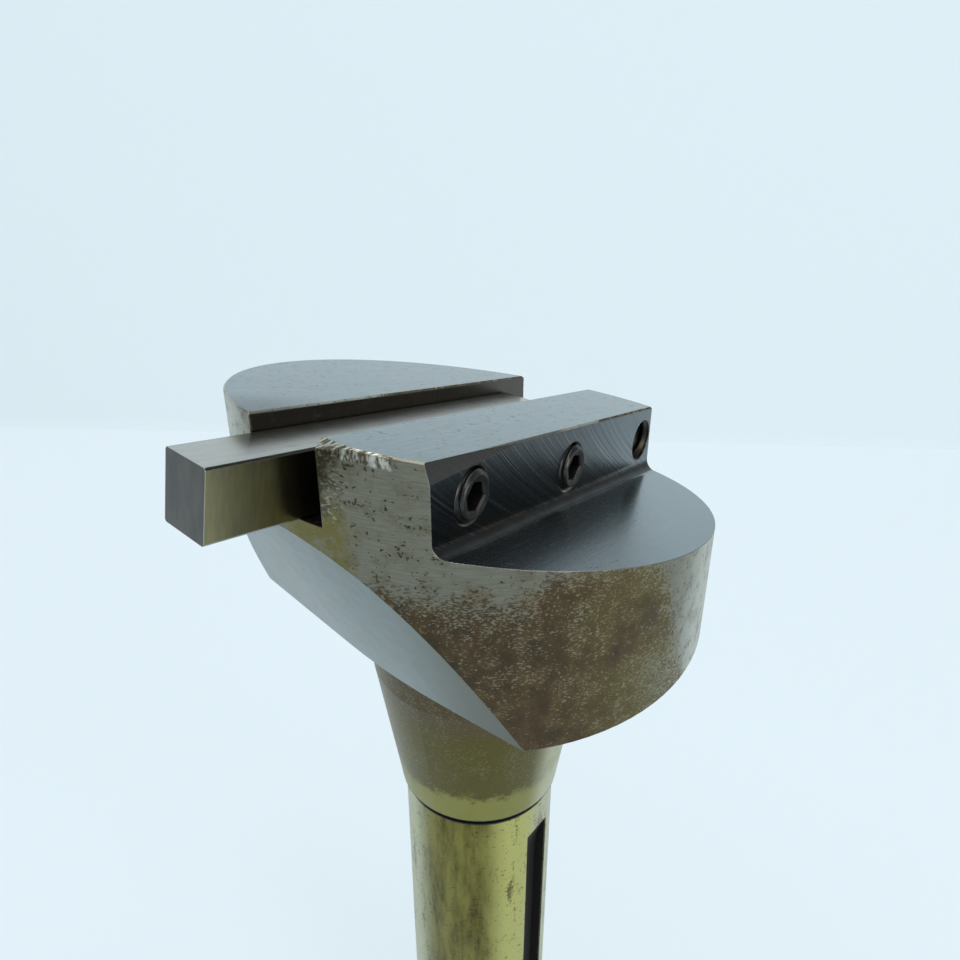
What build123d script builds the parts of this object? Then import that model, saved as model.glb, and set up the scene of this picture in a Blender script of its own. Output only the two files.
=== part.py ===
"""Fly cutter: a one-piece cutter head on a tapered milling-spindle shank. A square tool bit
lies in an open, inclined slot across the head, and set screws from one side clamp it.

Millimetres. The origin is on the spindle axis, at the drawbar end of the shank. +Z runs up the
axis to the head, +X to the side where the tool bit stands out, +Y to the clamp screws.
"""
from build123d import *
import os
from math import cos, radians, tan

# Shank
shank_diameter = 24.12
shank_end_chamfer = 0.6
gauge_diameter = 31.75
taper_included_angle = 16.85
taper_length = 21.5
taper_beyond_gauge = 2.2
neck_length = 10.0
relief_width = 1.2
relief_depth = 0.6
neck_fillet = 1.5

# Keyway, cut along the shank by a disc cutter that runs out at its upper end
keyway_width = 5.3
keyway_depth = 2.4
keyway_groove_gap = 5.8
keyway_turn = 85.0
keyway_cutter_diameter = 40.0

# Drawbar thread, bored to its nominal diameter
drawbar_thread_diameter = 11.11
drawbar_thread_depth = 30.0
drawbar_drill_diameter = 9.8
drawbar_drill_depth = 36.0
drawbar_drill_point_angle = 118.0
drawbar_mouth_chamfer = 0.9

# Head
head_diameter = 64.0
underside_height = 113.8
crown_rise = 30.03
crown_incline = 15.0
edge_break = 0.25

# Slot for the tool bit, square to the inclined crown
slot_back = -10.43
slot_width = 11.0
slot_depth = 10.24

# Land between the slot and the screw wall, and the ledge at the wall's foot
land_thickness = 12.28
ledge_rise = 19.28
ledge_incline = 14.5
ledge_fillet = 1.6

# Relief ground under the tool bit as two facets: turn about Z, lean, distance out from the neck
# at the underside. The grinder rolled over the ridge between them
relief_facets = {"left": (-15.5, 23.8, 4.75), "right": (-5.8, 22.5, 5.4)}
relief_roll = 110.0

# Corners of the land: one filed off along the screw wall, one battered beside the slot. Each
# gives how far the cut reaches back on the crown, down the side, and along the edge
filed_corner = (0.5, 2.4, 20.0)
battered_corner = (1.3, 1.4, 8.5)

# Tool bit
bit_side = 7.94
bit_length = 67.8
bit_overhang = 10.2
bit_end_skew = 15.0
bit_end_rake = 2.5
bit_edge_break = 0.25
bit_clearance = 0.05

# Clamp screws and their tapped holes
screw_hole_diameter = 6.35
screw_clearance = 0.05
screw_length = 15.9
screw_tip_gap = 0.05
screw_point_chamfer = 0.8
screw_cup_diameter = 3.2
screw_cup_depth = 0.9
screw_head_chamfer = 0.45
socket_across_flats = 3.175
socket_depth = 3.6
socket_turn = 20.0
screw_hole_mouth = 0.25

# Places of the tapped holes along the slot, and below the crown. The row was drilled by hand
outer_hole_inset = 10.8
middle_hole_offset = -3.55
spare_hole_inset = 3.9
hole_depths = {"outer": 4.9, "middle": 5.5, "spare": 5.0}

shank_radius = shank_diameter / 2
head_radius = head_diameter / 2
taper_rise = tan(radians(taper_included_angle / 2))
gauge_height = underside_height - neck_length - taper_beyond_gauge
taper_start = gauge_height - taper_length
taper_top = gauge_height + taper_beyond_gauge
keyway_top = taper_start - relief_width - keyway_groove_gap
crown_height = underside_height + crown_rise
ledge_height = underside_height + ledge_rise
slot_front = slot_back + slot_width
wall_face = slot_front + land_thickness
bit_reach = head_radius + bit_overhang
outer_hole = (head_radius - outer_hole_inset, hole_depths["outer"])
middle_hole = (middle_hole_offset, hole_depths["middle"])
spare_hole = (spare_hole_inset - head_radius, hole_depths["spare"])
blank = 4 * head_diameter

# Frame of the inclined crown: its X runs up the slot, its Z stands square to the crown
crown = Location((0, 0, crown_height), (0, -crown_incline, 0))
ledge = Location((0, 0, ledge_height), (0, -ledge_incline, 0))


def taper_radius(height):
    """Radius of the taper at a height on the axis."""
    return gauge_diameter / 2 + (height - gauge_height) * taper_rise


def on_crown(along, across, up):
    """Place in the crown's own frame."""
    return crown * Pos(along, across, up)


def shank():
    """Parallel shank, relief groove, taper and neck, turned as one profile."""
    relief_radius = shank_radius - relief_depth
    neck_radius = taper_radius(taper_top)
    profile = Polyline(
        (0, 0),
        (shank_radius - shank_end_chamfer, 0),
        (shank_radius, shank_end_chamfer),
        (shank_radius, taper_start - relief_width),
        (relief_radius, taper_start - relief_width),
        (relief_radius, taper_start),
        (taper_radius(taper_start), taper_start),
        (neck_radius, taper_top),
        (neck_radius, underside_height),
        (0, underside_height),
        (0, 0),
    )
    section = Plane.XZ * make_face(profile)
    return revolve(section, Axis.Z)


def drawbar_hole():
    """Stepped blind hole for the drawbar, with a chamfered mouth."""
    thread_radius = drawbar_thread_diameter / 2
    drill_radius = drawbar_drill_diameter / 2
    point = drill_radius / tan(radians(drawbar_drill_point_angle / 2))
    profile = Polyline(
        (0, 0),
        (thread_radius + drawbar_mouth_chamfer, 0),
        (thread_radius, drawbar_mouth_chamfer),
        (thread_radius, drawbar_thread_depth),
        (drill_radius, drawbar_thread_depth),
        (drill_radius, drawbar_drill_depth),
        (0, drawbar_drill_depth + point),
        (0, 0),
    )
    return revolve(Plane.XZ * make_face(profile), Axis.Z)


def keyway():
    """Straight floor from the drawbar end, and the disc cutter's run-out at the top."""
    cutter_radius = keyway_cutter_diameter / 2
    floor = shank_radius - keyway_depth
    runout = (cutter_radius**2 - (cutter_radius - keyway_depth) ** 2) ** 0.5
    straight = keyway_top - runout
    groove = Pos(floor, 0, 0) * Box(
        cutter_radius,
        keyway_width,
        straight,
        align=(Align.MIN, Align.CENTER, Align.MIN),
    )
    disc = Pos(floor + cutter_radius, 0, straight) * Rot(90, 0, 0) * Cylinder(
        cutter_radius, keyway_width
    )
    return Rot(0, 0, keyway_turn) * (groove + disc)


def edges_in(shape, *planes):
    """Edges of a shape that lie in all the planes given."""
    return shape.edges().filter_by(
        lambda edge: all(
            abs(plane.to_local_coords(edge @ at).Z) < 0.001 for plane in planes for at in (0, 0.5, 1)
        )
    )


def relief_place(turn, lean, from_neck):
    """Where a ground facet below the tool bit meets the underside, its X pointing outwards."""
    distance = taper_radius(taper_top) + from_neck
    return Pos(0, 0, underside_height) * Rot(0, 0, turn) * Pos(distance, 0, 0) * Rot(0, lean, 0)


def relieved(head):
    """The head with both facets ground, and the ridge between them rolled over."""
    places = [relief_place(*facet) for facet in relief_facets.values()]
    for place in places:
        head -= place * Pos(blank / 2, 0, 0) * Box(blank, blank, blank)
    ground = [Plane(place.position, z_dir=Plane(place).x_dir) for place in places]
    return fillet(edges_in(head, *ground), relief_roll)


def tapped_hole(along, depth, mouth=0.0):
    """One hole of the clamp row, from the slot out to its mouth in the screw wall."""
    radius = screw_hole_diameter / 2
    drilled = Pos(0, 0, land_thickness / 2) * Cylinder(radius, land_thickness + 2 * screw_clearance)
    if mouth:
        rim = Pos(0, 0, land_thickness) * Circle(radius + mouth)
        drilled += extrude(rim, -mouth, taper=45)
    return on_crown(along, slot_front, -depth) * Rot(-90, 0, 0) * drilled


def corner_cut(corner, back, down, along):
    """Block outside the plane through three points: back on the crown, down the side, and
    along the edge. Each is given as a step from the corner, in the crown's frame."""
    points = [crown * Pos(*(corner + step)) for step in (back, down, along)]
    first, second, third = (point.position for point in points)
    outward = (second - first).cross(third - first).normalized()
    middle = (crown * Pos(*corner)).position
    if outward.dot(middle - first) < 0:
        outward = -outward
    face = Plane(origin=(second + third) / 2, x_dir=third - second, z_dir=outward)
    return face * Box(
        2 * along.length, 3 * down.length, 2.0, align=(Align.CENTER, Align.CENTER, Align.MIN)
    )


def filed_cut():
    """The near end of the edge between crown and screw wall, filed off."""
    back, down, along = filed_corner
    reach = (head_radius**2 - wall_face**2) ** 0.5 / cos(radians(crown_incline))
    return corner_cut(
        Vector(reach, wall_face, 0), Vector(0, -back, 0), Vector(0, 0, -down), Vector(-along, 0, 0)
    )


def battered_cut():
    """The near end of the land beside the slot, knocked down by use."""
    back, down, along = battered_corner
    reach = (head_radius**2 - slot_front**2) ** 0.5 / cos(radians(crown_incline))
    return corner_cut(
        Vector(reach, slot_front, 0), Vector(-back, 0, 0), Vector(0, 0, -down), Vector(0, along, 0)
    )


def cutter_body():
    """Head and shank in one piece. The head's seam is turned away from its ground facets."""
    head = Pos(0, 0, underside_height) * Rot(0, 0, 90) * Cylinder(
        head_radius,
        2 * head_diameter,
        align=(Align.CENTER, Align.CENTER, Align.MIN),
    )
    head -= on_crown(0, 0, blank / 2) * Box(blank, blank, blank)
    head = relieved(head)
    open_side = ledge * Pos(0, wall_face, 0) * Box(
        blank, blank, blank, align=(Align.CENTER, Align.MIN, Align.MIN)
    )
    foot = open_side.edges().filter_by(Axis.X.located(ledge)).group_by(Axis.Y)[0].group_by(Axis.Z)[0]
    head -= fillet(foot, ledge_fillet)
    head -= on_crown(0, slot_back, -slot_depth) * Box(
        blank, slot_width, blank, align=(Align.CENTER, Align.MIN, Align.MIN)
    )
    head = chamfer(edges_in(head, Plane(crown)), edge_break)
    head -= filed_cut()
    head -= battered_cut()
    body = head + shank()
    rims = body.edges().filter_by(GeomType.CIRCLE)
    neck_root = rims.filter_by(
        lambda edge: abs(edge.radius - taper_radius(taper_top)) < 0.01
        and abs(edge.center().Z - underside_height) < 0.01
    )
    body = fillet(neck_root, neck_fillet)
    body -= drawbar_hole()
    body -= keyway()
    body -= tapped_hole(*outer_hole, screw_hole_mouth)
    body -= tapped_hole(*middle_hole, screw_hole_mouth)
    body -= tapped_hole(*spare_hole)
    return body


def tool_bit():
    """Square blank with parallel skewed ends, lying on the slot's floor against its back."""
    skew = bit_side * tan(radians(bit_end_skew))
    rake = bit_side * tan(radians(bit_end_rake))
    tail = bit_reach - bit_length
    plan = Polyline(
        (tail, 0),
        (bit_reach, 0),
        (bit_reach + skew, bit_side),
        (tail + skew, bit_side),
        (tail, 0),
    )
    blank_bar = extrude(make_face(plan), bit_side)
    long_edges = blank_bar.edges().filter_by(Axis.X)
    blank_bar = chamfer(long_edges, bit_edge_break)
    trim = Pos(bit_reach, 0, bit_side) * Rot(0, 0, -bit_end_skew) * Rot(0, bit_end_rake, 0)
    blank_bar -= trim * Box(
        bit_side, 4 * bit_side, 4 * bit_side, align=(Align.MIN, Align.CENTER, Align.CENTER)
    )
    return on_crown(0, slot_back + bit_clearance, bit_clearance - slot_depth) * blank_bar


def set_screw(along, depth):
    """Socket set screw with a cup point, its own axis along +Y in place."""
    radius = screw_hole_diameter / 2 - screw_clearance
    cup_radius = screw_cup_diameter / 2
    profile = Polyline(
        (0, screw_cup_depth),
        (cup_radius, 0),
        (radius - screw_point_chamfer, 0),
        (radius, screw_point_chamfer),
        (radius, screw_length - screw_head_chamfer),
        (radius - screw_head_chamfer, screw_length),
        (0, screw_length),
        (0, screw_cup_depth),
    )
    screw = revolve(Plane.XZ * make_face(profile), Axis.Z)
    flats = RegularPolygon(socket_across_flats / 2, 6, major_radius=False, rotation=-socket_turn)
    screw -= Pos(0, 0, screw_length - socket_depth) * extrude(flats, socket_depth)
    tip = slot_back + bit_clearance + bit_side + screw_tip_gap
    return on_crown(along, tip, -depth) * Rot(-90, 0, 0) * screw


parts = {
    "cutter_body": cutter_body(),
    "tool_bit": tool_bit(),
    "set_screw_middle": set_screw(*middle_hole),
    "set_screw_outer": set_screw(*outer_hole),
}

os.makedirs("parts", exist_ok=True)
for name, shape in parts.items():
    shape.label = name
    export_step(shape, f"parts/{name}.step")
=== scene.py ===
"""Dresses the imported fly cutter: worn, oiled and rusted steel, the threads of its holes and
clamp screws, and a pale studio with the camera of the photograph."""

from math import cos, degrees, pi, radians, sin

import bmesh
import bpy
from mathutils import Matrix, Vector


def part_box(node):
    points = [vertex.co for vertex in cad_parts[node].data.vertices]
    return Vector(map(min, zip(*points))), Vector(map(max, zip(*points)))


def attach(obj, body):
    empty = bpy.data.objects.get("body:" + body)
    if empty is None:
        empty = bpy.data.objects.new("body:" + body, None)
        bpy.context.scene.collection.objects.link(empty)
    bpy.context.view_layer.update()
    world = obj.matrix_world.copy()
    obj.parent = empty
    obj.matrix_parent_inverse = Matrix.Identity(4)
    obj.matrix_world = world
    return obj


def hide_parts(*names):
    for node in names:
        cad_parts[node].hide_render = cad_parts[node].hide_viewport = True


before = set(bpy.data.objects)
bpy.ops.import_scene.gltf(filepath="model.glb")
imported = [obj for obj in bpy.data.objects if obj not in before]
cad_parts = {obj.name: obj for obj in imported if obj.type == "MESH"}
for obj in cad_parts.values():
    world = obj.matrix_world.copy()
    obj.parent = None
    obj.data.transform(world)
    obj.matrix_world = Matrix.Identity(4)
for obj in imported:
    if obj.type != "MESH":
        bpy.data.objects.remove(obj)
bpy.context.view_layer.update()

bl_info = {
    "name": "Fly cutter looks",
    "version": (1, 0, 0),
    "blender": (4, 5, 0),
    "location": "3D View > Sidebar > Fly cutter",
    "description": "Finishes, threads and studio of a worn fly cutter",
    "category": "Object",
}

# Places on the cutter, in millimetres as the solids have them
CROWN_HEIGHT = 143.83
CROWN_INCLINE = radians(15)
SLOT_BACK = -10.43
SLOT_FRONT = 0.57
WALL_FACE = 12.85
HEAD_RADIUS = 32.0
UNDERSIDE = 113.8
GROOVE_TOP = 80.1
GROOVE_BOTTOM = 78.9
SHANK_RADIUS = 12.06
RUST_TOP = 135.6
CROWN_NORMAL = (-sin(CROWN_INCLINE), 0, cos(CROWN_INCLINE))
RELIEF_NORMAL = (0.907, -0.17, -0.389)
SPARE_HOLE_X = -25.848
SPARE_HOLE_Z = 131.727
DRAWBAR_MOUTH = 0.9
DRAWBAR_THREAD_DEPTH = 29.1
MM = 0.001

# Threads: steps round a turn and up a pitch, the angle from which an edge is sharp, and the
# radius where a set screw's thread ends at its point
THREAD_COLUMNS = 48
THREAD_ROWS = 8
THREAD_SHARP = radians(32)
POINT_RIM = 2.325 * MM

# The backs of the two linings stand this far from the holes' axes, inside the steel
SPARE_LINING = 3.2 * MM
DRAWBAR_LINING = 5.58 * MM

# The paper studio, in metres. The backdrop stops short on the right, where the ledge and the
# screw wall mirror the darker room
LIGHT_PATHS = ("Is Camera", "Is Glossy", "Is Transmission")
PAPER_GLOW = 0.8
SEAM_BACK = 0.2885
SEAM_WAY = (-0.8724, -0.4888, 0.0)
PAPER_REACH = 2.0
BACKDROP_END = 0.27
BACKDROP_HEIGHT = 1.6
ROOM_COLOUR = (0.93, 0.97, 1.0, 1.0)


def srgb(red, green, blue):
    """Linear colour of an sRGB colour given from 0 to 255."""
    linear = []
    for part in (red, green, blue):
        part = part / 255
        linear.append(part / 12.92 if part <= 0.04045 else ((part + 0.055) / 1.055) ** 2.4)
    return (*linear, 1.0)


class Value:
    """A socket in a node tree, with the arithmetic of a Python number."""

    def __init__(self, tree, socket):
        self.tree = tree
        self.socket = socket

    def math(self, operation, *others):
        """This value and the others through one Math node."""
        return self.tree.math(operation, self, *others)

    def __add__(self, other):
        return self.math("ADD", other)

    def __sub__(self, other):
        return self.math("SUBTRACT", other)

    def __rsub__(self, other):
        return self.tree.math("SUBTRACT", other, self)

    def __mul__(self, other):
        return self.math("MULTIPLY", other)

    def __truediv__(self, other):
        return self.math("DIVIDE", other)

    def __pow__(self, other):
        return self.math("POWER", other)

    def __abs__(self):
        return self.math("ABSOLUTE")

    __radd__ = __add__
    __rmul__ = __mul__

    def least(self, other):
        """The smaller of this value and another."""
        return self.math("MINIMUM", other)

    def most(self, other):
        """The larger of this value and another."""
        return self.math("MAXIMUM", other)

    def between(self, low, high):
        """0 at low and 1 at high, with a smooth step from one to the other. With low above
        high the step goes down."""
        kind = {"interpolation_type": "SMOOTHSTEP"}
        values = {"Value": self, "From Min": low, "From Max": high}
        return self.tree.node("ShaderNodeMapRange", kind, values)

    def band(self, low, high, soft):
        """1 from low to high, fading to 0 over soft on either side."""
        return self.between(low - soft, low) * self.between(high + soft, high)


class Tree:
    """A node tree of a material or of Geometry Nodes, built from expressions."""

    def __init__(self, nodes):
        self.nodes = nodes
        nodes.nodes.clear()

    def node(self, kind, settings=None, values=None, output=0):
        """A node with its settings, then the values or links of its sockets. Returns one of
        its outputs."""
        made = self.nodes.nodes.new(kind)
        for name, setting in (settings or {}).items():
            setattr(made, name, setting)
        for name, value in (values or {}).items():
            links = value if isinstance(value, list) else [value]
            for link in links:
                if isinstance(link, Value):
                    self.nodes.links.new(link.socket, made.inputs[name])
                elif link is not None:
                    made.inputs[name].default_value = link
        return Value(self, made.outputs[output]) if made.outputs else None

    def math(self, operation, *values):
        """One Math node."""
        return self.node("ShaderNodeMath", {"operation": operation}, dict(enumerate(values)))

    def vector(self, x, y, z):
        """Three values as one vector."""
        return self.node("ShaderNodeCombineXYZ", None, {"X": x, "Y": y, "Z": z})

    def split(self, vector):
        """The three parts of a vector."""
        return [self.node("ShaderNodeSeparateXYZ", None, {0: vector}, part) for part in range(3)]


class Paint(Tree):
    """The node tree of a new material."""

    def __init__(self, name):
        self.material = bpy.data.materials.new(name)
        self.material.use_nodes = True
        super().__init__(self.material.node_tree)

    def noise(self, place, scale, detail=3.0, roughness=0.55):
        """Noise about 0.5, whose features are about 1 / scale of the place's unit across."""
        values = {"Vector": place, "Scale": scale, "Detail": detail, "Roughness": roughness}
        return self.node("ShaderNodeTexNoise", None, values)

    def mix(self, mask, base, over):
        """Colour base where the mask is 0, and colour over where it is 1."""
        settings = {"data_type": "RGBA", "clamp_factor": True}
        return self.node("ShaderNodeMix", settings, {0: mask, 6: base, 7: over}, output=2)

    def blend(self, mask, base, over):
        """Number base where the mask is 0, and number over where it is 1."""
        return self.node("ShaderNodeMix", {"clamp_factor": True}, {0: mask, 2: base, 3: over})

    def layers(self, base, *coats):
        """A base colour under coats of (mask, colour), each over those before it."""
        for mask, over in coats:
            base = self.mix(mask, base, over)
        return base

    def levels(self, base, *coats):
        """A base number under coats of (mask, number), each over those before it."""
        for mask, over in coats:
            base = self.blend(mask, base, over)
        return base

    def bump(self, height, distance, strength, normal=None):
        """Normal bent by a height from 0 to 1 that stands for distance millimetres."""
        values = {"Strength": strength, "Distance": distance * MM}
        values.update({"Height": height, "Normal": normal})
        return self.node("ShaderNodeBump", None, values)

    def rounded(self, radius):
        """Normal rounded over the sharp edges, and a mask that is 1 on them."""
        normal = self.node("ShaderNodeBevel", {"samples": 4}, {"Radius": radius * MM})
        true = self.node("ShaderNodeNewGeometry", output="True Normal")
        dot = {"operation": "DOT_PRODUCT"}
        agree = self.node("ShaderNodeVectorMath", dot, {0: normal, 1: true}, "Value")
        return normal, agree.between(0.985, 0.86)

    def surface(self, **values):
        """The material with a Principled surface. Underscores in a name stand for spaces."""
        sockets = {name.replace("_", " "): value for name, value in values.items()}
        shader = self.node("ShaderNodeBsdfPrincipled", None, sockets)
        self.node("ShaderNodeOutputMaterial", None, {"Surface": shader})
        return self.material


class Place:
    """Where a point of the cutter is, in millimetres, and which way its surface faces. The turn
    is in degrees round the shank from +X. Along and above follow the inclined crown."""

    def __init__(self, paint):
        self.paint = paint
        coordinate = paint.node("ShaderNodeTexCoord", output="Object")
        scale = {"operation": "SCALE"}
        self.point = paint.node("ShaderNodeVectorMath", scale, {0: coordinate, "Scale": 1 / MM})
        self.x, self.y, self.z = paint.split(self.point)
        self.facing = paint.node("ShaderNodeTexCoord", output="Normal")
        self.face_y, self.face_z = paint.split(self.facing)[1:]
        self.radius = (self.x * self.x + self.y * self.y) ** 0.5
        self.turn = self.y.math("ARCTAN2", self.x) * degrees(1)
        rise = self.z - CROWN_HEIGHT
        self.along = self.x * cos(CROWN_INCLINE) + rise * sin(CROWN_INCLINE)
        self.above = rise * cos(CROWN_INCLINE) - self.x * sin(CROWN_INCLINE)

    def towards(self, direction):
        """How far the surface faces a fixed direction, 1 when it faces it fully."""
        dot = {"operation": "DOT_PRODUCT"}
        return self.paint.node("ShaderNodeVectorMath", dot, {0: self.facing, 1: direction}, "Value")

    def stretched(self, x=1.0, y=1.0, z=1.0):
        """The point with its axes scaled. A small scale draws a pattern out along that axis."""
        return self.paint.vector(self.x * x, self.y * y, self.z * z)


class Regions:
    """Masks of the body's regions, 1 inside and 0 outside."""

    def __init__(self, at):
        up = at.towards(CROWN_NORMAL)
        side = at.face_z.band(-0.25, 0.25, 0.02)
        self.on_rim = side * at.radius.between(HEAD_RADIUS - 0.35, HEAD_RADIUS - 0.2)
        self.below_head = at.z.between(UNDERSIDE + 0.02, UNDERSIDE - 0.02)
        self.underside = self.below_head * at.face_z.between(-0.8, -0.95)
        self.shank = at.z.between(GROOVE_BOTTOM + 0.3, GROOVE_BOTTOM)

        self.crown = up.between(0.9, 0.95) * at.above.between(-1.0, -0.6)
        wall = at.face_y.between(0.86, 0.94) * at.y.between(WALL_FACE - 0.7, WALL_FACE - 0.5)
        self.wall = wall * at.y.between(WALL_FACE + 0.4, WALL_FACE + 0.2) * at.z.between(120, 122)
        self.filed = self.wall * at.face_y.between(0.9995, 0.992) * at.above.between(-3.0, -2.6)
        self.ledge = at.y.between(WALL_FACE + 0.02, WALL_FACE + 0.1) * up.between(0.1, 0.3)
        self.fillet = at.y.band(WALL_FACE - 0.05, WALL_FACE + 1.5, 0.3) * up.between(0.985, 0.95)
        in_slot = at.y.band(SLOT_BACK - 0.01, SLOT_FRONT + 0.01, 0.02)
        self.in_slot = in_slot * at.above.between(-10.4, -10.3) * (1 - self.on_rim)
        relief = at.towards(RELIEF_NORMAL).between(0.955, 0.975)
        self.relief = relief * (1 - self.below_head)
        self.machined = self.crown.most(self.wall).most(self.ledge)
        self.machined = self.machined.most(self.in_slot).most(self.relief)

        # Painted shade: near black in the groove under the cone and inside the bore below it
        groove = at.z.between(GROOVE_TOP + 0.3, GROOVE_TOP + 0.1)
        groove = groove * at.z.between(GROOVE_BOTTOM - 0.4, GROOVE_BOTTOM - 0.2)
        bored = at.radius.between(SHANK_RADIUS - 0.25, SHANK_RADIUS - 0.35)
        self.painted_recess_shade = groove.most(bored * at.z.between(GROOVE_TOP, 79))
        knocked = at.along.between(29, 30.2) * at.y.band(SLOT_FRONT, 9.0, 0.4)
        self.knocked = knocked * at.above.between(-1.7, -1.3) * (1 - self.crown)
        self.bruised = self.on_rim * at.turn.band(0.8, 4.5, 3.0) * at.z.band(144, 151, 2.0)


class Marks:
    """Noise, tool marks and rust that the body's regions share."""

    def __init__(self, paint, at, regions):
        self.broad = paint.noise(at.point, 0.11, 4)
        self.cloud = paint.noise(at.point, 0.45, 5, 0.62)
        self.fine = paint.noise(at.stretched(z=2.4), 1.5, 4, 0.6)
        self.grain = paint.noise(at.point, 5.5, 3, 0.7)
        self.pits = paint.noise(at.stretched(z=1.7), 1.15, 2, 0.5).between(0.64, 0.69)
        small_pits = paint.noise(at.stretched(1.0, 1.0, 1.25), 1.5, 3, 0.65)
        self.dark_pits = (small_pits + (self.cloud - 0.5) * 0.3).between(0.615, 0.655)

        along_crown = paint.vector(at.along * 0.1, at.y * 3.4, at.above)
        self.ground_lines = paint.noise(along_crown, 1.0, 4, 0.6)
        sweep = at.along * 0.85 - at.above * 1.1 + at.above * at.above * 0.045
        self.arcs = paint.noise(paint.vector(sweep * 1.9, at.above * 0.03, 0.0), 1.0, 4, 0.7)
        along_wall = paint.vector(at.along * 0.09, at.y * 3.6, at.above)
        self.scratches = paint.noise(along_wall, 1.0, 5, 0.7)
        self.turned = paint.noise(at.stretched(0.35, 0.35, 5.0), 1.0, 4, 0.65)
        self.relief_lines = paint.noise(at.stretched(1.0, 1.0, 0.25), 2.2, 3, 0.6)
        knocks = paint.vector(at.x * 3.0 + at.y * 2.0, at.y * 0.7, at.z * 0.6)
        self.dents = paint.noise(knocks, 1.1, 3, 0.6)

        rough_edge = (self.cloud - 0.5) * 10.0 + (self.fine - 0.5) * 12.0
        behind = at.turn.between(110, 150) + at.turn.between(-30, -70)
        top = RUST_TOP + at.turn.band(46, 130, 4) * 3.0 - at.turn.band(92, 110, 24) * 26.0
        top = top + behind * 18.0 + (self.broad - 0.5) * 16.0 * behind
        self.rust = (top + rough_edge - at.z).between(-1.4, 1.4) * (1 - regions.machined)
        small = paint.noise(at.stretched(z=2.1), 2.3, 3, 0.6)
        field = small + (self.cloud - 0.5) * 0.4 + (self.broad - 0.5) * 0.35
        field = field + at.turn.band(92, 110, 34) * 0.07 + at.z.between(top - 7.0, top + 2.0) * 0.07
        self.flecks = field.between(0.56, 0.65)
        self.side_rust = self.rust * (1 - self.flecks * 0.9)


def crown_colour(paint, at, marks, finish):
    """Ground crown and land: fine grinding lines, small pits, faint stains and painted shade at the
    slot corner.
    """
    past_corner = at.along - 33.0
    from_slot = at.y - SLOT_BACK
    corner_reach = (past_corner * past_corner * 0.3 + from_slot * from_slot) ** 0.5
    # Painted shade at the corner where the crown meets the slot
    painted_corner_shade = corner_reach.between(10.0, 2.5) * at.y.between(SLOT_BACK + 0.5, SLOT_BACK)
    return paint.layers(
        finish.ground,
        (marks.ground_lines.between(0.3, 0.72), finish.ground_pale),
        (marks.cloud.between(0.5, 0.7) * 0.45, srgb(116, 114, 104)),
        (marks.pits * 0.6, srgb(64, 60, 52)),
        (painted_corner_shade * 0.85, srgb(52, 62, 68)),
    )


def wall_colour(paint, at, regions, marks, finish):
    """Screw wall: dark blue-grey with a painted reflection that lightens it towards its right end,
    the arcs of the cutter that milled it and a filed corner.
    """
    foot = at.above.between(-7.4, -9.6)
    return paint.layers(
        finish.wall,
        # Painted reflection: the wall lightens towards its right end
        (at.along.between(2, -26), srgb(92, 104, 108)),
        (marks.arcs.between(0.54, 0.64) * 0.75, srgb(118, 126, 126)),
        (marks.arcs.between(0.47, 0.38) * 0.85, srgb(28, 31, 32)),
        (foot * marks.cloud.between(0.4, 0.6) * 0.6, srgb(82, 70, 56)),
        (regions.filed * 0.85, srgb(74, 70, 65)),
    )


def ledge_colour(paint, at, regions, marks, painted_reflection_fade):
    """Ledge: smooth and blue-grey with a painted reflection, dark by the wall and lighter towards
    the rim and the right end; scratched along the wall, stained and dark at its foot.
    """
    foot_stain = at.y.between(WALL_FACE + 3.0, WALL_FACE + 0.8) * marks.cloud.between(0.42, 0.62)
    return paint.layers(
        srgb(112, 120, 122),
        (painted_reflection_fade, srgb(127, 139, 141)),
        (marks.scratches.between(0.55, 0.8) * 0.5, srgb(156, 164, 166)),
        (foot_stain * 0.5, srgb(74, 64, 52)),
        (regions.fillet * 0.8, srgb(44, 43, 40)),
    )


def side_colour(paint, at, marks):
    """Turned side of the head: grey steel with small dark pits and painted light round the back,
    then brown rust below.
    """
    # Painted light on the side round the back, past turns of 96 and -34 degrees
    lit = at.turn.between(76, 96) + at.turn.between(-14, -34)
    olive = at.turn.band(-12, 4, 6) * at.z.band(133, 143, 4) * marks.cloud.between(0.3, 0.5)
    bare = paint.layers(
        srgb(112, 109, 96),
        (marks.turned.between(0.3, 0.7), srgb(126, 125, 112)),
        (lit, srgb(178, 178, 164)),
        (marks.cloud.between(0.45, 0.72) * 0.6, srgb(98, 92, 70)),
        (marks.dark_pits * 0.85, srgb(52, 46, 34)),
        (olive * 0.8, srgb(112, 104, 54)),
    )
    yellowed = at.turn.band(70, 100, 28) * marks.broad.between(0.3, 0.6)
    rust = paint.layers(
        srgb(64, 52, 33),
        (marks.cloud.between(0.3, 0.7), srgb(90, 72, 44)),
        (yellowed * 0.55, srgb(112, 104, 46)),
        (marks.grain.between(0.45, 0.75) * 0.4, srgb(40, 34, 20)),
    )
    flecks = marks.rust * marks.flecks * 0.2
    return paint.layers(bare, (marks.side_rust, rust), (flecks, srgb(160, 156, 134)))


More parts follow.
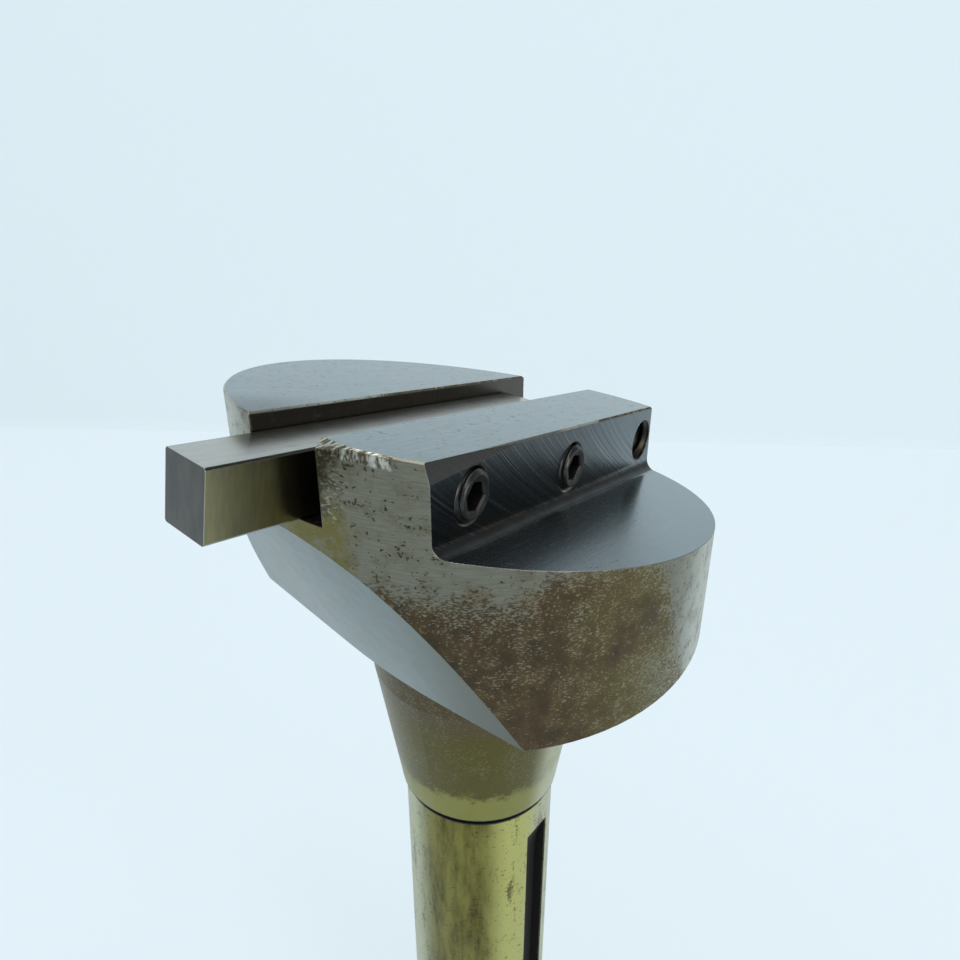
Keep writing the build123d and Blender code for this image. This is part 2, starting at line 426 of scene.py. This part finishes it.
def low_colour(paint, at, regions, marks, neck_line, neck_brown):
    """Neck, cone and shank: brown at the top, then an olive oil film over stained steel, with bands
    of painted light round the sides and back.
    """
    # Painted light round the back, past turns of 88 and -30 degrees
    lit = at.turn.between(66, 88) + at.turn.between(-4, -30)
    stain = paint.noise(at.stretched(1.4, 1.4, 0.3), 0.3, 5, 0.65)
    film = paint.layers(
        srgb(128, 122, 62),
        (stain.between(0.36, 0.6), srgb(100, 94, 42)),
        # Painted light: a lighter band from about 56 to 72 degrees, then the lit back
        (at.turn.band(56, 72, 24), srgb(184, 180, 108)),
        (lit * 0.85, srgb(188, 188, 156)),
        ((stain + marks.fine * 0.5).between(0.82, 0.92) * 0.8, srgb(74, 60, 28)),
        (marks.dark_pits * 0.6, srgb(60, 50, 24)),
    )
    neck_dark = neck_line.between(84.6, 86.8)
    neck = paint.layers(
        srgb(136, 132, 70),
        (neck_dark, srgb(90, 82, 40)),
        (neck_brown, srgb(84, 70, 44)),
        # Painted light: a faint band from -90 to -30 degrees and a bright band from 84 to 110
        # degrees
        (at.turn.band(-90, -30, 28) * 0.15, srgb(138, 135, 98)),
        (at.turn.band(84, 110, 20) * 0.9, srgb(184, 182, 148)),
        (marks.flecks * neck_dark * 0.5, srgb(132, 130, 96)),
    )
    return paint.mix(regions.shank, neck, film)


def relief_colour(paint, at, marks, finish):
    """Relief facets: pale and mottled, greener and darker towards the tip."""
    return paint.layers(
        finish.relief,
        (marks.cloud.between(0.4, 0.65) * 0.6, srgb(104, 110, 102)),
        (at.turn.between(-34, 12) * 0.5, srgb(112, 122, 122)),
        (at.turn.between(8, 34) * 0.9, srgb(62, 67, 47)),
    )


def body_steel(finish):
    """The one-piece body: each ground, milled, turned or rusted region by its place."""
    paint = Paint("cutter_body_steel")
    at = Place(paint)
    rounded, edges = paint.rounded(0.18)
    regions = Regions(at)
    marks = Marks(paint, at, regions)
    neck_line = at.z + (marks.cloud - 0.5) * 6.0 + (marks.fine - 0.5) * 4.0
    neck_brown = neck_line.between(98.0, 103.0)
    # Painted reflection on the ledge: dark by the wall, lighter towards the rim and the right end
    painted_reflection_fade = (at.y * 0.88 - at.along * 0.47 + marks.cloud * 3.0).between(19, 29)
    painted_recess_shade = regions.painted_recess_shade
    rusted = marks.side_rust * (1 - regions.below_head)

    dented = marks.dents.between(0.42, 0.62)
    knocked = paint.mix(dented, srgb(84, 78, 64), srgb(188, 188, 176))
    # Edges brightened partly by wear and partly as painted highlight
    edge_wear_and_highlight = edges * (1 - painted_recess_shade) * marks.grain.between(0.3, 0.55) * (1 - regions.below_head)
    # From the broadest region to the smallest, then the knocks and the brightened edges, partly
    # wear and partly painted highlight
    colour = paint.layers(
        side_colour(paint, at, marks),
        (regions.below_head, low_colour(paint, at, regions, marks, neck_line, neck_brown)),
        (regions.underside * 0.8, srgb(72, 62, 46)),
        (regions.relief, relief_colour(paint, at, marks, finish)),
        (regions.in_slot, srgb(84, 80, 72)),
        (regions.ledge, ledge_colour(paint, at, regions, marks, painted_reflection_fade)),
        (regions.wall, wall_colour(paint, at, regions, marks, finish)),
        (regions.crown, crown_colour(paint, at, marks, finish)),
        # Painted shade in the groove and the bore
        (painted_recess_shade, srgb(26, 26, 20)),
        (regions.knocked, knocked),
        (regions.bruised * marks.cloud.between(0.54, 0.46) * 0.7, srgb(70, 63, 50)),
        (regions.bruised * marks.fine.between(0.52, 0.62) * 0.6, srgb(170, 168, 152)),
        (edge_wear_and_highlight * 0.5, srgb(190, 190, 182)),
    )

    metal = (1 - rusted * 0.35) * (1 - regions.underside * 0.5) * (1 - painted_recess_shade * 0.7)
    metal = metal * (1 - neck_brown * regions.below_head * 0.35)
    rough = paint.levels(
        0.28,
        (marks.cloud, 0.4),
        (rusted, 0.55),
        (regions.relief, 0.32),
        (regions.crown, 0.2),
        (regions.wall, 0.26),
        (regions.ledge, paint.blend(painted_reflection_fade, 0.24, 0.16) + marks.scratches * 0.06),
        (regions.fillet * regions.ledge, 0.42),
        (painted_recess_shade, 0.6),
    )
    height = paint.levels(
        marks.turned * 0.35 - marks.dark_pits * 0.6,
        (marks.side_rust, marks.fine * 0.9 + marks.grain * 0.5),
        (regions.crown + regions.ledge, marks.ground_lines * 0.12 - marks.pits * 0.35),
        (regions.wall, marks.arcs * 0.8),
        (regions.relief, marks.relief_lines * 0.16),
    )
    height = height + regions.knocked * marks.dents * 3.0
    normal = paint.bump(height, 0.06, 0.55, rounded)
    return paint.surface(Base_Color=colour, Metallic=metal, Roughness=rough, Normal=normal)


def hole_steel():
    """Dark steel of the threads in the open holes, far darker than the body."""
    paint = Paint("hole_thread_steel")
    at = Place(paint)
    cloud = paint.noise(at.point, 0.8, 4, 0.6)
    grain = paint.noise(at.point, 4.0, 3, 0.6)
    colour = paint.mix(cloud.between(0.35, 0.65), srgb(40, 42, 40), srgb(56, 53, 46))
    rough = paint.blend(cloud, 0.3, 0.45)
    normal = paint.bump(grain, 0.03, 0.3)
    return paint.surface(Base_Color=colour, Metallic=0.9, Roughness=rough, Normal=normal)


def bit_steel(finish):
    """The tool bit: ground high-speed steel, tarnished brown on its sides, with painted shade
    on its ends and underside and painted highlights along its edges."""
    paint = Paint("tool_bit_steel")
    at = Place(paint)
    rounded, edges = paint.rounded(0.12)
    lines = paint.noise(paint.vector(at.along * 0.1, at.y * 3.0, at.above * 3.0), 1.0, 4, 0.65)
    across = paint.noise(paint.vector(at.along * 1.8, at.y * 0.4, at.above * 0.25), 1.0, 4, 0.6)
    cloud = paint.noise(at.point, 0.4, 4, 0.6)
    grain = paint.noise(at.point, 5.0, 3, 0.7)
    top = at.towards(CROWN_NORMAL).between(0.9, 0.96)
    side = abs(at.face_y).between(0.9, 0.96)
    tarnish = paint.mix(across.between(0.35, 0.7), srgb(142, 134, 88), srgb(122, 118, 90))
    # Painted shade: the ends and underside, neither top nor side, are darker
    painted_end_shade = paint.mix(across.between(0.3, 0.7), srgb(72, 72, 70), srgb(86, 83, 78))
    colour = paint.layers(
        finish.bit,
        (lines.between(0.3, 0.7), srgb(184, 180, 170)),
        (cloud.between(0.5, 0.75) * 0.4, srgb(152, 142, 120)),
        (side * 0.85, tarnish),
        (1 - top.most(side), painted_end_shade),
        (grain.between(0.68, 0.76) * 0.5, srgb(86, 76, 58)),
        # Painted highlight along the sharp edges
        (edges * 0.7, srgb(222, 224, 218)),
    )
    rough = paint.blend(cloud, 0.2, 0.3)
    height = lines * 0.3 + across * side * 0.25
    normal = paint.bump(height, 0.03, 0.4, rounded)
    return paint.surface(Base_Color=colour, Metallic=1.0, Roughness=rough, Normal=normal)


def screw_steel(finish):
    """The set screws: black oxide, brightened on the rims of their outer ends, partly by wear and
    partly as painted highlight.
    """
    paint = Paint("set_screw_steel")
    at = Place(paint)
    rounded, edges = paint.rounded(0.12)
    cloud = paint.noise(at.point, 1.2, 4, 0.6)
    grain = paint.noise(at.point, 6.0, 3, 0.7)
    colour = paint.mix(cloud.between(0.35, 0.65), finish.screws, srgb(72, 69, 64))
    outer = at.y.between(WALL_FACE - 0.2, WALL_FACE + 0.3)
    # Brighter rims at the outer end: partly wear, partly painted highlight
    edge_wear_and_highlight = outer * edges * grain.between(0.25, 0.5)
    colour = paint.mix(edge_wear_and_highlight * 0.5, colour, srgb(150, 150, 142))
    rough = paint.blend(cloud, 0.28, 0.42)
    normal = paint.bump(grain * 0.6 + cloud * 0.4, 0.03, 0.5, rounded)
    return paint.surface(Base_Color=colour, Metallic=0.9, Roughness=rough, Normal=normal)


def thread_skin():
    """Geometry Nodes for a screw thread about +Z, from 0 up to its length. Each row of a grid
    follows the helix, and the rows past the ends fold onto the rims, where they meet the
    plain part that comes in."""
    group = bpy.data.node_groups.new("thread_skin", "GeometryNodeTree")
    group.is_modifier = True
    sockets = group.interface
    sockets.new_socket("Geometry", in_out="INPUT", socket_type="NodeSocketGeometry")
    for name in ("Crest Radius", "Root Radius", "Low Rim", "High Rim", "Pitch", "Length"):
        socket = sockets.new_socket(name, in_out="INPUT", socket_type="NodeSocketFloat")
        socket.subtype = "DISTANCE"
    for name in ("Rows per Pitch", "Columns"):
        sockets.new_socket(name, in_out="INPUT", socket_type="NodeSocketInt")
    sockets.new_socket("Internal", in_out="INPUT", socket_type="NodeSocketBool")
    sockets.new_socket("Finish", in_out="INPUT", socket_type="NodeSocketMaterial")
    sockets.new_socket("Geometry", in_out="OUTPUT", socket_type="NodeSocketGeometry")

    tree = Tree(group)
    plain = tree.node("NodeGroupInput")
    outputs = plain.socket.node.outputs
    given = {socket.name: Value(tree, socket) for socket in outputs if socket.name}
    pitch, length, steps = given["Pitch"], given["Length"], given["Rows per Pitch"]
    rows = ((length / pitch + 1.0) * steps).math("CEIL")
    size = {"Size X": 1.0, "Size Y": 1.0}
    size.update({"Vertices X": given["Columns"] + 1.0, "Vertices Y": rows + 1.0})
    grid = tree.node("GeometryNodeMeshGrid", None, size)
    across, upward, _ = tree.split(tree.node("GeometryNodeInputPosition"))
    around = across + 0.5
    turns = (upward + 0.5) * rows / steps
    height = ((turns - 1.0 + around) * pitch).most(0.0).least(length)
    # A triangle wave, cut off to flat crests and roots
    ridge = 1.0 - abs(turns.math("FRACT") * 2.0 - 1.0)
    ridge = (ridge * 1.35 - 0.15).most(0.0).least(1.0)
    thread = given["Root Radius"] + (given["Crest Radius"] - given["Root Radius"]) * ridge
    internal = given["Internal"]
    external_fold = (given["Low Rim"] + height).least(given["High Rim"] + length - height)
    internal_fold = (given["Low Rim"] - height).most(given["High Rim"] - length + height)
    outside, inside = thread.least(external_fold), thread.most(internal_fold)
    radius = outside * (1.0 - internal) + inside * internal
    angle = around * (2 * pi)
    point = tree.vector(radius * angle.math("COSINE"), radius * angle.math("SINE"), height)
    skin = tree.node("GeometryNodeSetPosition", None, {"Geometry": grid, "Position": point})
    skin = tree.node("GeometryNodeFlipFaces", None, {"Mesh": skin, "Selection": internal})
    whole = tree.node("GeometryNodeJoinGeometry", None, {"Geometry": [skin, given["Geometry"]]})
    merged = {"Geometry": whole, "Distance": 0.002 * MM}
    whole = tree.node("GeometryNodeMergeByDistance", None, merged)
    whole = tree.node("GeometryNodeRealizeInstances", None, {"Geometry": whole})
    finished = {"Geometry": whole, "Material": given["Finish"]}
    whole = tree.node("GeometryNodeSetMaterial", None, finished)
    tree.node("NodeGroupOutput", None, {0: whole})
    return group


def rings_mesh(name, rings, columns, ends=(False, False)):
    """Mesh lofted through rings of (radius, height), where a radius may be a function of the
    angle. With the radius drawn to the right and the height up, the outside is on the right
    of the path. Either end can be closed with a flat face."""
    form = bmesh.new()
    loops = []
    for radius, height in rings:
        loop = []
        for column in range(columns):
            angle = 2 * pi * column / columns
            reach = radius(angle) if callable(radius) else radius
            loop.append(form.verts.new((reach * cos(angle), reach * sin(angle), height)))
        loops.append(loop)
    for lower, upper in zip(loops, loops[1:]):
        for column in range(columns):
            after = (column + 1) % columns
            form.faces.new((lower[column], lower[after], upper[after], upper[column]))
    for closed, loop, turn in ((ends[0], loops[0], -1), (ends[1], loops[-1], 1)):
        if closed:
            form.faces.new(loop[::turn])
    mesh = bpy.data.meshes.new(name)
    form.to_mesh(mesh)
    form.free()
    return mesh


def threaded_piece(name, plain, place, sizes, finish):
    """A piece made of a plain mesh and a thread's skin, moved to its place. The sizes are the
    thread tree's inputs by name."""
    source = bpy.data.objects.new(name + "_plain", plain)
    bpy.context.collection.objects.link(source)
    tree = bpy.data.node_groups.get("thread_skin") or thread_skin()
    skin = source.modifiers.new("Thread", "NODES")
    skin.node_group = tree
    values = {"Rows per Pitch": THREAD_ROWS, "Columns": THREAD_COLUMNS, "Finish": finish}
    values.update(sizes)
    for socket in tree.interface.items_tree:
        if socket.in_out == "INPUT" and socket.name in values:
            skin[socket.identifier] = values[socket.name]
    bpy.context.view_layer.update()
    seen = source.evaluated_get(bpy.context.evaluated_depsgraph_get())
    mesh = bpy.data.meshes.new_from_object(seen)
    source.modifiers.remove(skin)
    bpy.data.objects.remove(source)
    mesh.name = name
    mesh.transform(place)
    mesh.shade_smooth()
    mesh.set_sharp_from_angle(angle=THREAD_SHARP)
    piece = bpy.data.objects.new(name, mesh)
    bpy.context.collection.objects.link(piece)
    return piece


def hexagon(across_flats):
    """Radius of a hexagon at an angle, with a corner at 0."""
    return lambda angle: across_flats / 2 / cos(angle % (pi / 3) - pi / 6)


def set_screw(name, node, body, threads, finish):
    """A cup-point set screw with its thread and hexagon socket, in place of its plain solid."""
    low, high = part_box(node)
    length = high.y - low.y
    top = threads.root_radius
    flats = threads.socket_across_flats
    foot = length - threads.socket_depth
    head = [
        (top, length),
        (top - 0.12 * MM, length),
        (2.05 * MM, length - 0.1 * MM),
        (hexagon(flats + 0.26 * MM), length - 0.13 * MM),
        (hexagon(flats), length - 0.3 * MM),
        (hexagon(flats), foot),
        (1.25 * MM, foot - 0.05 * MM),
        (0.15 * MM, foot - 0.6 * MM),
    ]
    point = [
        (0.12 * MM, 0.9 * MM),
        (1.5 * MM, 0.07 * MM),
        (1.66 * MM, 0.0),
        (POINT_RIM, 0.0),
    ]
    plain = rings_mesh(name, head, THREAD_COLUMNS, (False, True))
    cup = rings_mesh(name + "_point", point, THREAD_COLUMNS, (True, False))
    form = bmesh.new()
    form.from_mesh(plain)
    form.from_mesh(cup)
    form.to_mesh(plain)
    form.free()
    bpy.data.meshes.remove(cup)
    middle = (low + high) / 2
    place = Matrix.Translation((middle.x, low.y, middle.z))
    place = place @ Matrix.Rotation(radians(-90), 4, "X")
    place = place @ Matrix.Rotation(-threads.socket_turn, 4, "Z")
    sizes = {
        "Crest Radius": (high.x - low.x) / 2,
        "Root Radius": threads.root_radius,
        "Low Rim": POINT_RIM,
        "High Rim": threads.root_radius,
        "Pitch": threads.pitch,
        "Length": length,
    }
    piece = threaded_piece(name, plain, place, sizes, finish)
    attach(piece, body)
    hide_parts(node)
    return piece


def hole_thread(name, place, radius, crest, length, pitch, finish):
    """The thread of a tapped hole of the body, as a lining whose back lies in the steel."""
    plain = rings_mesh(name, [(radius, 0.0), (radius, length)], THREAD_COLUMNS)
    sizes = {
        "Crest Radius": crest,
        "Root Radius": radius - 0.02 * MM,
        "Low Rim": radius,
        "High Rim": radius,
        "Pitch": pitch,
        "Length": length,
        "Internal": True,
    }
    piece = threaded_piece(name, plain, place, sizes, finish)
    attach(piece, "body")
    return piece


def dress(node, material):
    """Gives a CAD node its finish."""
    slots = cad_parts[node].material_slots
    if not slots:
        raise RuntimeError(node + " has no material slot")
    for slot in slots:
        slot.material = material


def soft_lamp(name, place, aim, size, power):
    """A square soft box that faces a point."""
    lamp = bpy.data.lights.new(name, "AREA")
    lamp.shape = "SQUARE"
    lamp.size = size
    lamp.energy = power
    holder = bpy.data.objects.new(name, lamp)
    holder.location = place
    holder.rotation_euler = (Vector(aim) - Vector(place)).to_track_quat("-Z", "Y").to_euler()
    bpy.context.collection.objects.link(holder)
    return holder


def paper(name, colour):
    """Matt paper that mostly glows in its own colour, to the camera and in the steel, so that
    the shadows on it stay faint."""
    paint = Paint(name)
    seen = [paint.node("ShaderNodeLightPath", output=kind + " Ray") for kind in LIGHT_PATHS]
    direct = seen[0].most(seen[1]).most(seen[2])
    matt = paint.node("ShaderNodeBsdfDiffuse", None, {"Color": colour})
    glow = paint.node("ShaderNodeEmission", None, {"Color": colour, "Strength": 1.0})
    both = paint.node("ShaderNodeMixShader", None, {0: direct * PAPER_GLOW, 1: matt, 2: glow})
    paint.node("ShaderNodeOutputMaterial", None, {"Surface": both})
    return paint.material


def studio_sheet(name, profile, width, colour):
    """A sheet of paper that follows a profile of (distance back, height), from one side of
    the cutter to the other."""
    back = Vector(SEAM_WAY)
    side = Vector((back.y, -back.x, 0))
    points = []
    for reach, height in profile:
        for across in width:
            points.append(back * reach + side * across + Vector((0, 0, height)))
    faces = [(2 * row, 2 * row + 1, 2 * row + 3, 2 * row + 2) for row in range(len(profile) - 1)]
    mesh = bpy.data.meshes.new(name)
    mesh.from_pydata(points, [], faces)
    mesh.shade_smooth()
    mesh.materials.append(paper(name + "_paper", tuple(colour)))
    sheet = bpy.data.objects.new(name, mesh)
    bpy.context.collection.objects.link(sheet)
    return sheet


def colour_input(name, description, default):
    """A colour property."""
    return bpy.props.FloatVectorProperty(
        name=name,
        description=description,
        subtype="COLOR",
        size=4,
        min=0.0,
        max=1.0,
        default=default,
    )


def length_input(name, description, default):
    """A length property."""
    return bpy.props.FloatProperty(
        name=name, description=description, unit="LENGTH", default=default
    )


class FlyCutterFinish(bpy.types.PropertyGroup):
    """Colours of the cutter's finishes."""

    ground: colour_input(
        "Ground crown",
        "Darker colour of the ground crown",
        srgb(112, 126, 128),
    )
    ground_pale: colour_input(
        "Ground crown streaks",
        "Paler colour along the grinding lines of the crown",
        srgb(130, 143, 144),
    )
    wall: colour_input(
        "Milled wall",
        "Colour of the milled wall that holds the clamp screws",
        srgb(60, 66, 68),
    )
    relief: colour_input(
        "Relief facets",
        "Colour of the ground facets under the tool bit",
        srgb(120, 131, 130),
    )
    bit: colour_input(
        "Tool bit",
        "Colour of the tool bit's ground faces",
        srgb(172, 170, 164),
    )
    screws: colour_input(
        "Set screws",
        "Colour of the black oxide on the set screws",
        srgb(54, 58, 60),
    )


class FlyCutterThreads(bpy.types.PropertyGroup):
    """Sizes of the screw threads and sockets."""

    pitch: length_input(
        "Pitch",
        "Pitch of all the threads, 20 to the inch",
        1.27 * MM,
    )
    root_radius: length_input(
        "Screw root radius",
        "Radius at the root of the set screws' thread",
        2.55 * MM,
    )
    hole_crest: length_input(
        "Hole crest radius",
        "Radius at the crest of the thread in the spare screw hole",
        2.62 * MM,
    )
    drawbar_crest: length_input(
        "Drawbar crest radius",
        "Radius at the crest of the drawbar thread",
        4.92 * MM,
    )
    socket_across_flats: length_input(
        "Socket across flats",
        "Width of the set screws' hexagon socket",
        3.175 * MM,
    )
    socket_depth: length_input(
        "Socket depth",
        "Depth of the set screws' hexagon socket",
        3.6 * MM,
    )
    socket_turn: bpy.props.FloatProperty(
        name="Socket turn",
        description="Turn of the hexagon sockets about their screws",
        unit="ROTATION",
        default=radians(20),
    )


class FlyCutterStudio(bpy.types.PropertyGroup):
    """The camera, the lamps and the backdrop."""

    camera_place: bpy.props.FloatVectorProperty(
        name="Camera place",
        description="Where the camera stands",
        subtype="TRANSLATION",
        unit="LENGTH",
        default=(0.09173, 0.05826, 0.19155),
    )
    camera_view: bpy.props.FloatVectorProperty(
        name="Camera direction",
        description="Which way the camera looks",
        subtype="DIRECTION",
        default=(-0.7431, -0.4711, -0.4753),
    )
    lens: bpy.props.FloatProperty(
        name="Lens",
        description="Focal length on a 36 mm sensor",
        unit="CAMERA",
        default=33.6,
    )
    floor: colour_input(
        "Floor",
        "Colour of the floor",
        srgb(226, 240, 247),
    )
    backdrop: colour_input(
        "Backdrop",
        "Colour of the wall behind the cutter",
        srgb(223, 238, 245),
    )
    lamp_power: bpy.props.FloatProperty(
        name="Lamp power",
        description="Power of the lamp overhead",
        unit="POWER",
        default=9.0,
    )
    room: bpy.props.FloatProperty(
        name="Room light",
        description="Strength of the even light from all round",
        default=0.2,
        min=0.0,
    )


class FLYCUTTER_OT_body(bpy.types.Operator):
    """Finish the one-piece body and cut the threads of its open holes"""

    bl_idname = "flycutter.body"
    bl_label = "Body"

    def execute(self, context):
        threads = context.scene.flycutter_threads
        steel = body_steel(context.scene.flycutter_finish)
        dress("cutter_body", steel)
        dark = hole_steel()
        mouth = Vector((SPARE_HOLE_X, SLOT_FRONT, SPARE_HOLE_Z)) * MM
        spare = Matrix.Translation(mouth) @ Matrix.Rotation(radians(-90), 4, "X")
        drawbar = Matrix.Translation((0, 0, DRAWBAR_MOUTH * MM))
        depth = (WALL_FACE - SLOT_FRONT) * MM
        length = DRAWBAR_THREAD_DEPTH * MM
        pitch = threads.pitch
        crest = threads.hole_crest
        hole_thread("spare_hole_thread", spare, SPARE_LINING, crest, depth, pitch, dark)
        crest = threads.drawbar_crest
        hole_thread("drawbar_thread", drawbar, DRAWBAR_LINING, crest, length, pitch, dark)
        return {"FINISHED"}


class FLYCUTTER_OT_bit(bpy.types.Operator):
    """Finish the high-speed steel tool bit"""

    bl_idname = "flycutter.bit"
    bl_label = "Tool bit"

    def execute(self, context):
        dress("tool_bit", bit_steel(context.scene.flycutter_finish))
        return {"FINISHED"}


class FLYCUTTER_OT_screws(bpy.types.Operator):
    """Make the two set screws that clamp the tool bit"""

    bl_idname = "flycutter.screws"
    bl_label = "Set screws"

    def execute(self, context):
        threads = context.scene.flycutter_threads
        steel = screw_steel(context.scene.flycutter_finish)
        set_screw("outer_set_screw", "set_screw_outer", "outer_screw", threads, steel)
        set_screw("middle_set_screw", "set_screw_middle", "middle_screw", threads, steel)
        return {"FINISHED"}


class FLYCUTTER_OT_stage(bpy.types.Operator):
    """Set up the pale floor and backdrop, the soft lamps and the camera"""

    bl_idname = "flycutter.stage"
    bl_label = "Studio"

    def execute(self, context):
        studio = context.scene.flycutter_studio
        flat = [(-PAPER_REACH, 0.0), (SEAM_BACK, 0.0)]
        studio_sheet("floor", flat, (-PAPER_REACH, PAPER_REACH), studio.floor)
        bend = [(SEAM_BACK, 0.0), (SEAM_BACK + 0.003, 0.001), (SEAM_BACK + 0.005, 0.004)]
        bend.append((SEAM_BACK + 0.005, BACKDROP_HEIGHT))
        studio_sheet("backdrop", bend, (-PAPER_REACH, BACKDROP_END), studio.backdrop)
        soft_lamp("lamp_overhead", (0.0, -0.05, 0.95), (0, 0, 0.1), 1.0, studio.lamp_power)
        soft_lamp("lamp_right", (0.15, 0.75, 0.35), (0, 0, 0.1), 0.4, studio.lamp_power * 0.3)

        world = bpy.data.worlds.new("studio_room")
        world.use_nodes = True
        tree = Tree(world.node_tree)
        light = {"Color": ROOM_COLOUR, "Strength": studio.room}
        background = tree.node("ShaderNodeBackground", None, light)
        tree.node("ShaderNodeOutputWorld", None, {"Surface": background})
        context.scene.world = world

        camera = bpy.data.cameras.new("camera")
        camera.lens = studio.lens
        camera.clip_start = 0.01
        holder = bpy.data.objects.new("camera", camera)
        holder.location = studio.camera_place
        holder.rotation_euler = Vector(studio.camera_view).to_track_quat("-Z", "Y").to_euler()
        context.collection.objects.link(holder)
        context.scene.camera = holder
        context.scene.view_settings.view_transform = "Standard"
        return {"FINISHED"}


class FLYCUTTER_PT_looks(bpy.types.Panel):
    """Sizes, colours and steps of the fly cutter's looks"""

    bl_label = "Fly cutter"
    bl_idname = "FLYCUTTER_PT_looks"
    bl_space_type = "VIEW_3D"
    bl_region_type = "UI"
    bl_category = "Fly cutter"

    def draw(self, context):
        scene = context.scene
        for group in (scene.flycutter_finish, scene.flycutter_threads, scene.flycutter_studio):
            box = self.layout.box()
            for name in group.__annotations__:
                box.prop(group, name)
        for step in STEPS:
            self.layout.operator(step.bl_idname)


STEPS = (FLYCUTTER_OT_stage, FLYCUTTER_OT_body, FLYCUTTER_OT_bit, FLYCUTTER_OT_screws)
GROUPS = (FlyCutterFinish, FlyCutterThreads, FlyCutterStudio)


def register():
    for kind in (*GROUPS, *STEPS, FLYCUTTER_PT_looks):
        bpy.utils.register_class(kind)
    bpy.types.Scene.flycutter_finish = bpy.props.PointerProperty(type=FlyCutterFinish)
    bpy.types.Scene.flycutter_threads = bpy.props.PointerProperty(type=FlyCutterThreads)
    bpy.types.Scene.flycutter_studio = bpy.props.PointerProperty(type=FlyCutterStudio)


def unregister():
    del bpy.types.Scene.flycutter_studio
    del bpy.types.Scene.flycutter_threads
    del bpy.types.Scene.flycutter_finish
    for kind in (FLYCUTTER_PT_looks, *reversed(STEPS), *reversed(GROUPS)):
        bpy.utils.unregister_class(kind)


def main():
    """Makes every piece and the studio."""
    register()
    bpy.ops.flycutter.stage()
    bpy.ops.flycutter.body()
    bpy.ops.flycutter.bit()
    bpy.ops.flycutter.screws()
    bpy.context.view_layer.update()


if __name__ == "__main__":
    main()
